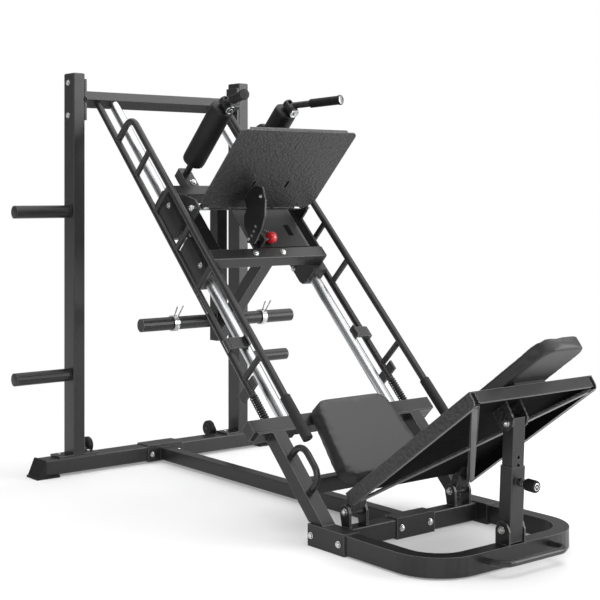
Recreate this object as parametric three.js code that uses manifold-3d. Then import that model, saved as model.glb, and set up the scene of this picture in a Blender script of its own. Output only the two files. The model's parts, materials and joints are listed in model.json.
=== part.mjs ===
// Plate-loaded leg press and hack squat machine on a 45 degree track.
// Millimetres, +Z up, +X to the right seen from the user's end, +Y towards the uprights.
import * as THREE from "three";
import { mergeVertices } from "three/addons/utils/BufferGeometryUtils.js";
import Module from "manifold-3d";

const wasm = await Module();
wasm.setup();

// ---- driving dimensions -------------------------------------------------
const GAP = 0.3; // clearance kept between touching pieces

// rear stand; y = 0 is the front face of the uprights until the whole is centred
const UPRIGHT = { w: 50, d: 80, x: 400, top: 1580 };
const BASE = { half: 545, z0: 10, z1: 70 };
const FLANGE = { t: 8, half: 85 };
const PEG = { r: 25, tip: 657, y: 40, z: [1035, 390] };
const WHEEL = { r: 33, w: 26, x: 300, y: 118, z: 86 };

// inclined track: s runs down the rail from the top beam, n stands up off it
const TRACK = { y: 20, z: 1480, deg: 45 };
const TUBE = 50; // square tube used along the track
const ROD = { x: 242, r: 20 };
const LOW_S = 1624; // centre line of the lower beam
const LOW_HALF = 405;
const POST_X = 308; // inclined front posts

// front base
const FRONT = { z0: 5, z1: 65, y0: -1492, y1: -1442, half: 283, bx: 345 };
const LOOP = { x: 340, front: -1930, w: 50, r: 160, back: -1446 };
const HINGE = { x: 232, y: -1457, z: 110, r: 13, wide: 39 };
const POST = { y: -1903, z: 106, top: [-1918, 428], w: 58, d: 50, wall: 3, pin: 147, pitch: 24 };

// safety ladders
const LADDER = { x: 314, nb: 0, nf: 137, r: 13, s0: 26, s1: 1492, end: 1770 };
const RUNGS = [433, 627, 821, 1015, 1420];
const LADDER_BEND = { s: 247, r: 50 };

// carriage, in the track frame, at the height it is parked
const CARRIAGE = { half: 262, n0: 50, n1: 100, up: 583, low: 912 };
const HOUSING = { x0: 209, x1: 275, n0: -46, up: [560, 742], low: [800, 990] };
const PIVOT = { s: 738, n: 136, r: 9, half: 271 };
const PLATE = { s: 761, t: 5, half: 265, n0: 160, n1: 548, lip: 16 };
const SECTOR = { x: 77, step: 8 };
const RELEASE = { s: 889, n: 122, knob: 13 };
const STEM = { y: -383.5, z: 613.5, bottom: 535 };
const LOAD_PEG = { r: 25, tip: 354, collar: 208 };
const SHOULDER = { x: 149, s: 494, r: 45, n0: 133, n1: 420 };
const HANDLE = { from: [-641, 1441], x: 223, to: [-859, 1456], r: 12.5 };

// reclining board and cushions
const BOARD = { deg: 35.6, u0: 35, u1: 690, half: 268, low: 3, top: 48, t: 4 };
const BACK = { half: 90, u0: 232, u1: 868, t: 46, lift: 12 };
const SEAT = { y: -1166, z: 418, deg: 45, half: 165, flare: 25, len: 314, t: 55, bar: [-1238, 149] };

// ---- materials ------------------------------------------------------------
const material = (color, roughness, metalness) =>
  new THREE.MeshStandardMaterial({ color, roughness, metalness });
const powder = material(0x2b2b2d, 0.55, 0.35);
const plateSteel = material(0x333436, 0.6, 0.35);
const dark = material(0x18181a, 0.6, 0.3);
const chrome = material(0xd8dadc, 0.12, 1);
const zinc = material(0xb4b6b8, 0.35, 0.9);
const vinyl = material(0x3a3a3c, 0.7, 0);
const foam = material(0x222224, 0.75, 0);
const rubber = material(0x141415, 0.85, 0);
const red = material(0xb4141a, 0.45, 0);
const nylon = material(0x1b1b1c, 0.65, 0);
const wood = material(0x5a4a38, 0.8, 0);

// ---- geometry helpers -------------------------------------------------------
const box = (x0, x1, y0, y1, z0, z1) =>
  new THREE.BoxGeometry(x1 - x0, y1 - y0, z1 - z0).translate(
    (x0 + x1) / 2,
    (y0 + y1) / 2,
    (z0 + z1) / 2,
  );

// rectangle with round corners, centred on the origin
function roundRect(w, h, r, steps = 3, flare = 0) {
  const shape = new THREE.Shape();
  const corners = [
    [w / 2 - r, h / 2 - r, 0],
    [-w / 2 + r, h / 2 - r, 90],
    [-w / 2 - flare + r, -h / 2 + r, 180],
    [w / 2 + flare - r, -h / 2 + r, 270],
  ];
  const points = corners.flatMap(([cx, cy, a]) =>
    Array.from({ length: steps + 1 }, (_, i) => {
      const t = THREE.MathUtils.degToRad(a + (90 * i) / steps);
      return new THREE.Vector2(cx + r * Math.cos(t), cy + r * Math.sin(t));
    }),
  );
  shape.setFromPoints(points);
  return shape;
}

const prism = (shape, depth, extra = {}) =>
  new THREE.ExtrudeGeometry(shape, { depth, bevelEnabled: false, ...extra });

// rounded tube stock along Z between z0 and z1
const stockZ = (w, d, z0, z1, r = 4) =>
  prism(roundRect(w, d, r), z1 - z0).translate(0, 0, z0);
// along X between x0 and x1; d lies along Y and h along Z
const stockX = (d, h, x0, x1, r = 4) =>
  prism(roundRect(d, h, r), x1 - x0)
    .rotateX(Math.PI / 2)
    .rotateZ(Math.PI / 2)
    .translate(x0, 0, 0);
// along Y between y0 and y1; w lies along X and h along Z
const stockY = (w, h, y0, y1, r = 4) =>
  prism(roundRect(w, h, r), y1 - y0)
    .rotateX(Math.PI / 2)
    .translate(0, y1, 0);

// cylinder along one axis between two places
function rod(axis, r, a, b, sides = 24) {
  const g = new THREE.CylinderGeometry(r, r, b - a, sides);
  if (axis === "x") return g.rotateZ(-Math.PI / 2).translate((a + b) / 2, 0, 0);
  if (axis === "z") return g.rotateX(Math.PI / 2).translate(0, 0, (a + b) / 2);
  return g.translate(0, (a + b) / 2, 0);
}

// outline of [y, z] pairs extruded along X between x0 and x1
function slabX(points, x0, x1) {
  const shape = new THREE.Shape(points.map(([y, z]) => new THREE.Vector2(y, z)));
  return prism(shape, x1 - x0)
    .rotateX(Math.PI / 2)
    .rotateZ(Math.PI / 2)
    .translate(x0, 0, 0);
}

// round bar of radius r along straight runs joined by bends of radius bend
function bar(points, r, bend, sides = 14) {
  const p = points.map((q) => new THREE.Vector3(...q));
  const path = new THREE.CurvePath();
  let from = p[0];
  for (let i = 1; i < p.length - 1; i++) {
    const a = p[i - 1].clone().sub(p[i]).normalize();
    const b = p[i + 1].clone().sub(p[i]).normalize();
    const half = a.angleTo(b) / 2;
    const cut = bend / Math.tan(half);
    const start = p[i].clone().addScaledVector(a, cut);
    const stop = p[i].clone().addScaledVector(b, cut);
    path.add(new THREE.LineCurve3(from, start));
    const centre = p[i].clone().addScaledVector(
      a.clone().add(b).normalize(),
      bend / Math.sin(half),
    );
    path.add(new Arc(centre, start, stop));
    from = stop;
  }
  path.add(new THREE.LineCurve3(from, p[p.length - 1]));
  const stops = path.curves.flatMap((c) =>
    c instanceof Arc ? [0.2, 0.4, 0.6, 0.8, 1].map((t) => c.getPoint(t)) : [c.getPoint(1)],
  );
  return sweep(r, sides, [p[0], ...stops]);
}

class Arc extends THREE.Curve {
  constructor(centre, start, stop) {
    super();
    this.centre = centre;
    this.a = start.clone().sub(centre);
    this.b = stop.clone().sub(centre);
    this.angle = this.a.angleTo(this.b);
    this.axis = this.a.clone().cross(this.b).normalize();
  }
  getPoint(t) {
    return this.a.clone().applyAxisAngle(this.axis, this.angle * t).add(this.centre);
  }
}

// path that passes through a list of stops, turning its section half-way at each
class Stops extends THREE.Curve {
  constructor(points) {
    super();
    this.points = points;
  }
  getPointAt(u) {
    return this.points[Math.round(u * (this.points.length - 1))].clone();
  }
  getTangentAt(u) {
    const i = Math.round(u * (this.points.length - 1));
    const here = this.points[i];
    const a = here.clone().sub(this.points[Math.max(i - 1, 0)]).normalize();
    const b = this.points[Math.min(i + 1, this.points.length - 1)].clone().sub(here).normalize();
    return a.add(b).normalize();
  }
}

// round section carried along the stops
function sweep(r, sides, points) {
  const ring = Array.from({ length: sides }, (_, i) => {
    const t = (2 * Math.PI * i) / sides;
    return new THREE.Vector2(r * Math.cos(t), r * Math.sin(t));
  });
  return new THREE.ExtrudeGeometry(new THREE.Shape(ring), {
    steps: points.length - 1,
    extrudePath: new Stops(points),
    bevelEnabled: false,
  });
}

// ---- joining and cutting --------------------------------------------------------
function solid(geometry) {
  const bare = new THREE.BufferGeometry();
  bare.setAttribute("position", geometry.getAttribute("position"));
  bare.setIndex(geometry.getIndex());
  const g = mergeVertices(bare, 1e-3);
  const made = new wasm.Manifold(
    new wasm.Mesh({
      numProp: 3,
      vertProperties: g.attributes.position.array,
      triVerts: new Uint32Array(g.index.array),
    }),
  );
  return made;
}
function shell(made) {
  const m = made.getMesh();
  const g = new THREE.BufferGeometry();
  g.setAttribute("position", new THREE.Float32BufferAttribute(m.vertProperties, 3));
  g.setIndex(Array.from(m.triVerts));
  g.computeVertexNormals();
  return g;
}
const join = (...parts) =>
  shell(parts.map(solid).reduce((a, b) => a.add(b)));
const cut = (body, ...tools) =>
  shell(tools.map(solid).reduce((a, b) => a.subtract(b), solid(body)));

// ---- the scene -------------------------------------------------------------------
const machine = new THREE.Group();
const track = new THREE.Group(); // x across, y up the rail, z off the rail
track.position.set(0, TRACK.y, TRACK.z);
track.rotation.x = THREE.MathUtils.degToRad(TRACK.deg);
machine.add(track);

function place(group, name, geometry, look) {
  if (!geometry.getAttribute("normal")) geometry.computeVertexNormals();
  const mesh = new THREE.Mesh(geometry, look.clone());
  mesh.name = name;
  group.add(mesh);
  return mesh;
}
// geometry given in a group's frame, carried over to the machine's frame
function within(group, geometry) {
  group.updateMatrix();
  return geometry.applyMatrix4(group.matrix);
}
const SIDES = [
  ["left", -1],
  ["right", 1],
];
const span = (side, a, b) => (side < 0 ? [-b, -a] : [a, b]);
// box in the track frame from s, n limits
const railBox = (x0, x1, s0, s1, n0, n1) => box(x0, x1, -s1, -s0, n0, n1);
// outline of [s, n] pairs in the track frame, extruded along X
const railSlab = (points, x0, x1) =>
  slabX([...points].reverse().map(([s, n]) => [-s, n]), x0, x1);

// rear base tube with the transport wheel brackets
const wheelBrackets = SIDES.map(([, side]) => {
  const [x0, x1] = span(side, WHEEL.x + WHEEL.w / 2 + 3, WHEEL.x + WHEEL.w / 2 + 9);
  const outline = [
    [UPRIGHT.d - 10, BASE.z1 - 25],
    [UPRIGHT.d + 4, BASE.z1 - 25],
    [WHEEL.y + 10, WHEEL.z - 10],
    [WHEEL.y + 10, WHEEL.z + 12],
    [WHEEL.y - 12, WHEEL.z + 12],
    [UPRIGHT.d + 2, BASE.z1 - 2],
    [UPRIGHT.d - 10, BASE.z1 - 2],
  ];
  return slabX(outline, x0, x1);
});
const axles = SIDES.map(([, side]) => {
  const [x0, x1] = span(side, WHEEL.x - WHEEL.w / 2 - 2, WHEEL.x + WHEEL.w / 2 + 5);
  return rod("x", 5, x0, x1, 16).translate(0, WHEEL.y, WHEEL.z);
});
const baseMid = (BASE.z0 + BASE.z1) / 2;
const baseTube = stockX(UPRIGHT.d, BASE.z1 - BASE.z0, -BASE.half, BASE.half, 5).translate(
  0,
  UPRIGHT.d / 2,
  baseMid,
);
place(machine, "rear_base_tube", join(baseTube, ...wheelBrackets, ...axles), powder);

for (const [name, side] of SIDES) {
  // moulded end foot with a sloping nose and a sole under the tube
  const foot = [
    [585, 0],
    [585, 7],
    [579, 10],
    [553, 71],
    [BASE.half + GAP, 71],
    [BASE.half + GAP, BASE.z0 - GAP],
    [487, BASE.z0 - GAP],
    [487, 0],
  ].map(([x, z]) => new THREE.Vector2(side * x, z));
  const nose = prism(new THREE.Shape(side < 0 ? foot : foot.reverse()), UPRIGHT.d + 10)
    .rotateX(Math.PI / 2)
    .translate(0, UPRIGHT.d + 5, 0);
  place(machine, `rear_foot_${name}`, nose, rubber);

  // upright with its bolted foot flange
  const column = stockZ(UPRIGHT.w, UPRIGHT.d, BASE.z1 + GAP + 2, UPRIGHT.top).translate(
    side * UPRIGHT.x,
    UPRIGHT.d / 2,
    0,
  );
  const sole = box(
    side * UPRIGHT.x - FLANGE.half,
    side * UPRIGHT.x + FLANGE.half,
    0,
    UPRIGHT.d,
    BASE.z1 + GAP,
    BASE.z1 + GAP + FLANGE.t,
  );
  place(machine, `upright_${name}`, join(column, sole), powder);

  // plate storage pegs
  PEG.z.forEach((z, i) => {
    const [x0, x1] = span(side, UPRIGHT.x + UPRIGHT.w / 2 + GAP, PEG.tip);
    const level = i ? "lower" : "upper";
    const peg = rod("x", PEG.r, x0, x1, 32).translate(0, PEG.y, z);
    place(machine, `storage_peg_${name}_${level}`, peg, powder);
  });

  // transport wheel
  const half = WHEEL.w / 2;
  const tread = [
    [5.6, -half],
    [WHEEL.r - 4, -half],
    [WHEEL.r, -half + 5],
    [WHEEL.r, half - 5],
    [WHEEL.r - 4, half],
    [5.6, half],
    [5.6, -half],
  ].map(([r, t]) => new THREE.Vector2(r, t));
  const wheel = new THREE.LatheGeometry(tread, 32).rotateZ(-Math.PI / 2);
  wheel.translate(side * WHEEL.x, WHEEL.y, WHEEL.z);
  place(machine, `transport_wheel_${name}`, wheel, rubber);
}

// top beam turned to the rail angle, with bolted flange plates at both ends
const inner = UPRIGHT.x - UPRIGHT.w / 2 - GAP;
const topBeam = stockX(TUBE, TUBE, -inner + 2, inner - 2)
  .rotateX(track.rotation.x)
  .translate(0, TRACK.y, TRACK.z);
const flanges = SIDES.map(([, side]) => {
  const [x0, x1] = span(side, inner - FLANGE.t, inner);
  return box(x0, x1, 0, UPRIGHT.d, TRACK.z - 83, TRACK.z + 80);
});
place(machine, "top_beam", join(topBeam, ...flanges), powder);

// lower beam, guide rods and inclined front posts
place(
  track,
  "lower_beam",
  stockX(TUBE, TUBE, -LOW_HALF, LOW_HALF).translate(0, -LOW_S, 0),
  powder,
);
const postTop = LOW_S + TUBE / 2 + GAP;
const bracketTop = FRONT.z1 + 4;
for (const [name, side] of SIDES) {
  const length = [-(LOW_S - TUBE / 2 - GAP), -(TUBE / 2 + GAP)];
  place(
    track,
    `guide_rod_${name}`,
    rod("y", ROD.r, ...length, 40).translate(side * ROD.x, 0, 0),
    chrome,
  );
  // the post ends in a level cut that stands on the corner bracket
  const level = (TRACK.z - bracketTop - GAP) * Math.SQRT2;
  const h = TUBE / 2;
  const leg = railSlab(
    [
      [postTop, -h],
      [postTop, h],
      [level + h, h],
      [level - h, -h],
    ],
    side * POST_X - h,
    side * POST_X + h,
  );
  const cap = railBox(...span(side, 226, 390), postTop, postTop + FLANGE.t, -h, h);
  const grab = bar(
    [
      [side * POST_X, -1752, h - 4],
      [side * POST_X, -1752, 96],
      [side * POST_X, -1892, 96],
      [side * POST_X, -1892, h - 4],
    ],
    11,
    46,
  );
  place(track, `front_post_${name}`, join(leg, cap, grab), powder);
}

// front base: corner brackets, cross tube with hinge clevises, loop, centre tube
for (const [name, side] of SIDES) {
  const [x0, x1] = span(side, FRONT.half, FRONT.bx);
  const [c0, c1] = span(side, LOOP.x - LOOP.w - GAP, LOOP.x + GAP);
  const outer = box(x0, x1, -1541, -1364, 0, bracketTop);
  const hollow = box(c0, c1, -1600, LOOP.back + GAP, FRONT.z0 - GAP, FRONT.z1 + GAP);
  place(machine, `corner_bracket_${name}`, cut(outer, hollow), powder);
}
const frontMid = (FRONT.z0 + FRONT.z1) / 2;
const frontY = (FRONT.y0 + FRONT.y1) / 2;
const clevises = SIDES.flatMap(([, side]) =>
  [-1, 1].map((cheek) => {
    const x = side * HINGE.x + cheek * (HINGE.wide - 4);
    const outline = [
      [HINGE.y - 24, FRONT.z1 - 3],
      [HINGE.y + 14, FRONT.z1 - 3],
      [HINGE.y + 24, HINGE.z],
      [HINGE.y + 16, HINGE.z + 18],
      [HINGE.y, HINGE.z + 24],
      [HINGE.y - 16, HINGE.z + 18],
      [HINGE.y - 24, HINGE.z],
    ];
    return slabX(outline, x - 4, x + 4);
  }),
);
const hingePins = SIDES.map(([, side]) =>
  rod(
    "x",
    HINGE.r - 5,
    side * HINGE.x - HINGE.wide - 4,
    side * HINGE.x + HINGE.wide + 4,
    20,
  ).translate(0, HINGE.y, HINGE.z),
);
const crossTube = stockX(
  FRONT.y1 - FRONT.y0,
  FRONT.z1 - FRONT.z0,
  -FRONT.half + GAP,
  FRONT.half - GAP,
).translate(0, frontY, frontMid);
place(machine, "front_cross_tube", join(crossTube, ...clevises, ...hingePins), powder);

// flat loop that runs forward round the support post
function loopOutline(x, front, r) {
  const pts = [];
  for (let i = 0; i <= 10; i++) {
    const t = Math.PI + (Math.PI / 2) * (i / 10);
    pts.push([-x + r + r * Math.cos(t), front + r + r * Math.sin(t)]);
  }
  for (let i = 0; i <= 10; i++) {
    const t = 1.5 * Math.PI + (Math.PI / 2) * (i / 10);
    pts.push([x - r + r * Math.cos(t), front + r + r * Math.sin(t)]);
  }
  return pts;
}
const outerLine = loopOutline(LOOP.x, LOOP.front, LOOP.r);
const innerLine = loopOutline(LOOP.x - LOOP.w, LOOP.front + LOOP.w, LOOP.r - LOOP.w);
const loopShape = new THREE.Shape(
  [
    [-LOOP.x, LOOP.back],
    ...outerLine,
    [LOOP.x, LOOP.back],
    [LOOP.x - LOOP.w, LOOP.back],
    ...innerLine.reverse(),
    [-LOOP.x + LOOP.w, LOOP.back],
  ].map(([x, y]) => new THREE.Vector2(x, y)),
);
const loopTube = prism(loopShape, FRONT.z1 - FRONT.z0).translate(0, 0, FRONT.z0);
const earHalf = POST.w / 2 + 1;
const ears = SIDES.map(([, side]) => {
  const outline = [
    [POST.y - 28, FRONT.z1 - 3],
    [POST.y + 28, FRONT.z1 - 3],
    [POST.y + 28, POST.z],
    [POST.y + 18, POST.z + 22],
    [POST.y, POST.z + 28],
    [POST.y - 18, POST.z + 22],
    [POST.y - 28, POST.z],
  ];
  return slabX(outline, ...span(side, earHalf, earHalf + 6));
});
const postPin = rod("x", 6, -earHalf - 8, earHalf + 8, 20).translate(0, POST.y, POST.z);
place(machine, "base_loop", join(loopTube, ...ears, postPin), powder);
place(
  machine,
  "transport_handle",
  bar(
    [
      [-145, LOOP.front - GAP, 44],
      [-145, -2008, 44],
      [145, -2008, 44],
      [145, LOOP.front - GAP, 44],
    ],
    10,
    42,
  ),
  powder,
);

// centre tube with a sleeve round each cross tube
const sleeve = (y0, y1, z0, z1) =>
  cut(
    box(-83, 83, y0 - 4, y1 + 4, z0 - 4, z1 + 4),
    box(-90, 90, y0 - GAP, y1 + GAP, z0 - GAP, z1 + GAP),
  );
const spine = stockY(TUBE, TUBE, FRONT.y1 + 2, -2).translate(0, 0, 35);
place(
  machine,
  "centre_tube",
  join(
    spine,
    sleeve(0, UPRIGHT.d, BASE.z0, BASE.z1),
    sleeve(FRONT.y0, FRONT.y1, FRONT.z0, FRONT.z1),
  ),
  powder,
);

// seat cushion and the bar that carries its lower end
const seat = new THREE.Group(); // y down the cushion face, z out of it
seat.position.set(0, SEAT.y, SEAT.z);
seat.rotation.x = THREE.MathUtils.degToRad(SEAT.deg);
machine.add(seat);
const cushion = prism(roundRect(2 * SEAT.half, SEAT.len, 55, 5, SEAT.flare), SEAT.t).translate(
  0,
  -SEAT.len / 2,
  -SEAT.t,
);
place(seat, "seat_pad", cushion, vinyl);
// strap behind the cushion on a bar with end plates against the front posts
const barHalf = POST_X - TUBE / 2 - GAP;
const seatBar = stockX(TUBE, TUBE, -barHalf, barHalf).translate(0, SEAT.bar[0], SEAT.bar[1]);
const seatEnds = SIDES.map(([, side]) => {
  const [x0, x1] = span(side, barHalf - 6, barHalf);
  return box(x0, x1, SEAT.bar[0] - 66, SEAT.bar[0] + 25, SEAT.bar[1] - 22, SEAT.bar[1] + 22);
});
const seatStrap = box(-40, 40, -296, -78, -SEAT.t - 6.5, -SEAT.t - GAP);
const seatBracket = box(-40, 40, -259, -223, -140, -SEAT.t - 3);
place(
  machine,
  "seat_bar",
  join(seatBar, ...seatEnds, within(seat, join(seatStrap, seatBracket))),
  powder,
);

// ---- safety ladders -------------------------------------------------------------
for (const [name, side] of SIDES) {
  const x = side * LADDER.x;
  const back = rod("y", LADDER.r, -LADDER.s1, -LADDER.s0, 16).translate(x, 0, LADDER.nb);
  const spigot = rod("y", 8, -(LOW_S - TUBE / 2 - 0.5), -LADDER.s1 + 4, 16).translate(
    x,
    0,
    LADDER.nb,
  );
  const front = bar(
    [
      [x, -LADDER_BEND.s + 6, LADDER.nb],
      [x, -LADDER_BEND.s, LADDER.nf],
      [x, -LADDER.end, LADDER.nf],
    ],
    LADDER.r,
    LADDER_BEND.r,
    16,
  );
  const rungs = RUNGS.map((s) =>
    rod("z", LADDER.r - 2, LADDER.nb, LADDER.nf, 12).translate(x, -s, 0),
  );
  // catch plate over the guide rod with its inner edge turned up
  const catchPlate = railBox(...span(side, 246, LADDER.x), 1258, 1304, 21, 27);
  const lip = railBox(...span(side, 246, 252), 1258, 1304, 21, 42);
  const catchRoot = railBox(
    ...span(side, LADDER.x - 11, LADDER.x + 11),
    1258,
    1304,
    LADDER.nb,
    25,
  );
  const tab = railBox(...span(side, LADDER.x - 4, LADDER.x + 4), 1440, 1478, -62, 48);
  place(
    track,
    `safety_ladder_${name}`,
    join(back, spigot, front, ...rungs, catchRoot, catchPlate, lip, tab),
    powder,
  );
  const grip = [
    [LADDER.r + GAP, 0],
    [18, 0],
    [18, 168],
    [16, 174],
    [LADDER.r + GAP, 174],
    [LADDER.r + GAP, 0],
  ].map(([r, t]) => new THREE.Vector2(r, t));
  const sleeveGrip = new THREE.LatheGeometry(grip, 24)
    .rotateX(Math.PI)
    .translate(x, -(LADDER.end - 172), LADDER.nf);
  place(track, `ladder_grip_${name}`, sleeveGrip, rubber);

  // return spring round the spigot
  const turns = 6;
  const coil = [];
  const from = LADDER.s1 + 7;
  const to = LOW_S - TUBE / 2 - 4;
  for (let i = 0; i <= turns * 9; i++) {
    const t = (2 * Math.PI * i) / 9;
    const s = from + ((to - from) * i) / (turns * 9);
    coil.push(
      new THREE.Vector3(x + 13.5 * Math.cos(t) * side, -s, LADDER.nb + 13.5 * Math.sin(t)),
    );
  }
  place(track, `return_spring_${name}`, sweep(2.6, 5, coil), dark);
}

// ---- carriage ---------------------------------------------------------------------
const crossbeam = (s) =>
  stockX(TUBE, TUBE, -CARRIAGE.half, CARRIAGE.half).translate(0, -s - TUBE / 2, 75);
const sideRails = SIDES.map(([, side]) =>
  railBox(...span(side, 205, CARRIAGE.half), CARRIAGE.up + 40, CARRIAGE.low + 10, 52, 94),
);
const panel = cut(
  railBox(-58, 208, 690, CARRIAGE.low + 6, 92, 98),
  railBox(66, 78, 806, 846, 80, 110),
);
const panelLugs = SIDES.map(([, side]) => {
  const [x0, x1] = span(side, 250, 257);
  return cut(
    railSlab(
      [
        [640, 60],
        [640, 112],
        [716, 158],
        [756, 158],
        [764, 136],
        [764, 60],
      ],
      x0,
      x1,
    ),
    rod("x", PIVOT.r + 0.6, x0 - 2, x1 + 2, 24).translate(0, -PIVOT.s, PIVOT.n),
  );
});
const pinLug = cut(
  railBox(-30, -22, 862, 912, 94, 142),
  rod("x", 6.4, -40, -10, 20).translate(0, -RELEASE.s, RELEASE.n),
);
const frameInRail = [
  crossbeam(CARRIAGE.up),
  crossbeam(CARRIAGE.low),
  ...sideRails,
  panel,
  ...panelLugs,
  pinLug,
].map((g) => within(track, g));
// upright hanger and inclined strut that carry the loading pegs
const hanger = stockZ(TUBE, TUBE, STEM.bottom, 1078).translate(0, STEM.y, 0);
const hangerTop = box(-25, 25, -470, -360, 1046, 1082);
const strut = railBox(-24, 24, 914, 962, -352, 55)
  .rotateX(track.rotation.x)
  .translate(0, TRACK.y, TRACK.z);
place(
  machine,
  "carriage_frame",
  join(...frameInRail, hanger, hangerTop, strut),
  powder,
);

for (const [name, side] of SIDES) {
  const [x0, x1] = span(side, HOUSING.x0, HOUSING.x1);
  for (const [level, range] of [
    ["upper", HOUSING.up],
    ["lower", HOUSING.low],
  ]) {
    const [s0, s1] = range;
    const n1 = CARRIAGE.n0 - GAP;
    const c = 26;
    const body = railSlab(
      [
        [s0, n1],
        [s1, n1],
        [s1, HOUSING.n0 + c],
        [s1 - c * 0.3, HOUSING.n0 + c * 0.3],
        [s1 - c, HOUSING.n0],
        [s0 + c, HOUSING.n0],
        [s0 + c * 0.3, HOUSING.n0 + c * 0.3],
        [s0, HOUSING.n0 + c],
      ],
      x0,
      x1,
    );
    const bore = rod("y", ROD.r + 0.8, -s1 - 5, -s0 + 5, 40).translate(side * ROD.x, 0, 0);
    place(track, `bearing_housing_${name}_${level}`, cut(body, bore), dark);
  }

  // loading peg and spring collar
  const [p0, p1] = span(side, TUBE / 2 + GAP, LOAD_PEG.tip);
  const peg = rod("x", LOAD_PEG.r, p0, p1, 32).translate(0, STEM.y, STEM.z);
  place(machine, `loading_peg_${name}`, peg, powder);
  const ring = [
    [LOAD_PEG.r + 0.6, -11],
    [LOAD_PEG.r + 5, -11],
    [LOAD_PEG.r + 5, 11],
    [LOAD_PEG.r + 0.6, 11],
    [LOAD_PEG.r + 0.6, -11],
  ].map(([r, t]) => new THREE.Vector2(r, t));
  const clip = new THREE.LatheGeometry(ring, 32).rotateZ(-Math.PI / 2);
  const levers = [-1, 1].map((k) =>
    bar(
      [
        [k * 8, 0, LOAD_PEG.r + 2.5],
        [k * 13, 0, LOAD_PEG.r + 58],
      ],
      2.5,
      1,
      8,
    ),
  );
  const collar = join(clip, ...levers)
    .rotateX(0.6)
    .translate(side * LOAD_PEG.collar, STEM.y, STEM.z);
  place(machine, `spring_collar_${name}`, collar, chrome);

  // shoulder roller: bracket, stem, cushion, end clamp, handle and grip
  const cx = side * SHOULDER.x;
  const bracket = railBox(cx - 25, cx + 25, 468, CARRIAGE.up - GAP, 36, 78);
  const stem = rod("z", 12.5, 60, SHOULDER.n1 + 22, 20).translate(cx, -SHOULDER.s, 0);
  const clamp = rod("y", 19, -(SHOULDER.s + 44), -(SHOULDER.s - 16), 28).translate(
    cx,
    0,
    SHOULDER.n1 + 20,
  );
  place(track, `shoulder_stem_${name}`, join(bracket, stem), powder);
  const drilled = cut(clamp, rod("z", 12.8, 300, 600, 20).translate(cx, -SHOULDER.s, 0));
  place(track, `end_clamp_${name}`, drilled, chrome);
  const round = 12;
  const profile = [
    [12.5 + GAP, SHOULDER.n0],
    [SHOULDER.r - round, SHOULDER.n0],
    [SHOULDER.r - 3.5, SHOULDER.n0 + 3.5],
    [SHOULDER.r, SHOULDER.n0 + round],
    [SHOULDER.r, SHOULDER.n1 - round],
    [SHOULDER.r - 3.5, SHOULDER.n1 - 3.5],
    [SHOULDER.r - round, SHOULDER.n1],
    [12.5 + GAP, SHOULDER.n1],
    [12.5 + GAP, SHOULDER.n0],
  ].map(([r, t]) => new THREE.Vector2(r, t));
  const roller = new THREE.LatheGeometry(profile, 32)
    .rotateX(Math.PI / 2)
    .translate(cx, -SHOULDER.s, 0);
  place(track, `shoulder_pad_${name}`, roller, foam);
}

for (const [name, side] of SIDES) {
  // handle held in the end clamp, running forward and outward, with its grip
  const from = new THREE.Vector3(side * SHOULDER.x, HANDLE.from[0], HANDLE.from[1]);
  const to = new THREE.Vector3(side * HANDLE.x, HANDLE.to[0], HANDLE.to[1]);
  const axis = to.clone().sub(from).normalize();
  const turn = new THREE.Quaternion().setFromUnitVectors(new THREE.Vector3(0, 1, 0), axis);
  const long = from.distanceTo(to);
  const shaft = rod("y", HANDLE.r, 0, long, 20).applyQuaternion(turn);
  shaft.translate(from.x, from.y, from.z);
  const socket = rod("y", 19.4, -(SHOULDER.s + 60), -(SHOULDER.s - 40), 28).translate(
    side * SHOULDER.x,
    0,
    SHOULDER.n1 + 20,
  );
  place(machine, `handle_${name}`, cut(shaft, within(track, socket)), powder);
  const start = long * 0.42;
  const grip = [
    [0, long + GAP],
    [HANDLE.r + GAP, long + GAP],
    [HANDLE.r + GAP, start],
    [HANDLE.r + 3.5, start],
    [HANDLE.r + 3.5, long - 8],
    [18.5, long - 8],
    [18.5, long + 4],
    [15, long + 7],
    [0, long + 7],
  ].map(([r, t]) => new THREE.Vector2(r, t));
  const sleeveGrip = new THREE.LatheGeometry(grip, 24).applyQuaternion(turn);
  place(machine, `handle_grip_${name}`, sleeveGrip.translate(from.x, from.y, from.z), rubber);
}

// ---- tilting foot plate ------------------------------------------------------------
const plateHigh = PLATE.n1 - PLATE.n0;
function plateShape() {
  const shape = new THREE.Shape();
  const w = PLATE.half;
  const [low, high] = [45, 20];
  shape.moveTo(-w + low, 0);
  shape.lineTo(w - low, 0);
  shape.absarc(w - low, low, low, -Math.PI / 2, 0);
  shape.absarc(w - high, plateHigh - high, high, 0, Math.PI / 2);
  shape.absarc(-w + high, plateHigh - high, high, Math.PI / 2, Math.PI);
  shape.absarc(-w + low, low, low, Math.PI, 1.5 * Math.PI);
  return shape;
}
const sheet = prism(plateShape(), PLATE.t, { curveSegments: 6 })
  .rotateX(Math.PI / 2)
  .translate(0, -PLATE.s + PLATE.t, PLATE.n0);
const folded = railSlab(
  [
    [PLATE.s, PLATE.n1 - 5],
    [PLATE.s, PLATE.n1],
    [PLATE.s - PLATE.lip, PLATE.n1],
    [PLATE.s - PLATE.lip, PLATE.n1 - 5],
  ],
  -222,
  222,
);
const gussets = [-232, -90, 90, 232].map((x) =>
  railSlab(
    [
      [PIVOT.s - 9, PIVOT.n - 4],
      [PIVOT.s + 6, PIVOT.n - 6],
      [PLATE.s - 2, PLATE.n0 + 8],
      [PLATE.s - 2, PLATE.n0 + 90],
      [PLATE.s - 8, PLATE.n0 + 90],
    ],
    x - 4,
    x + 4,
  ),
);
const hingeRod = rod("x", PIVOT.r, -PIVOT.half, PIVOT.half, 20).translate(0, -PIVOT.s, PIVOT.n);
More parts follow.
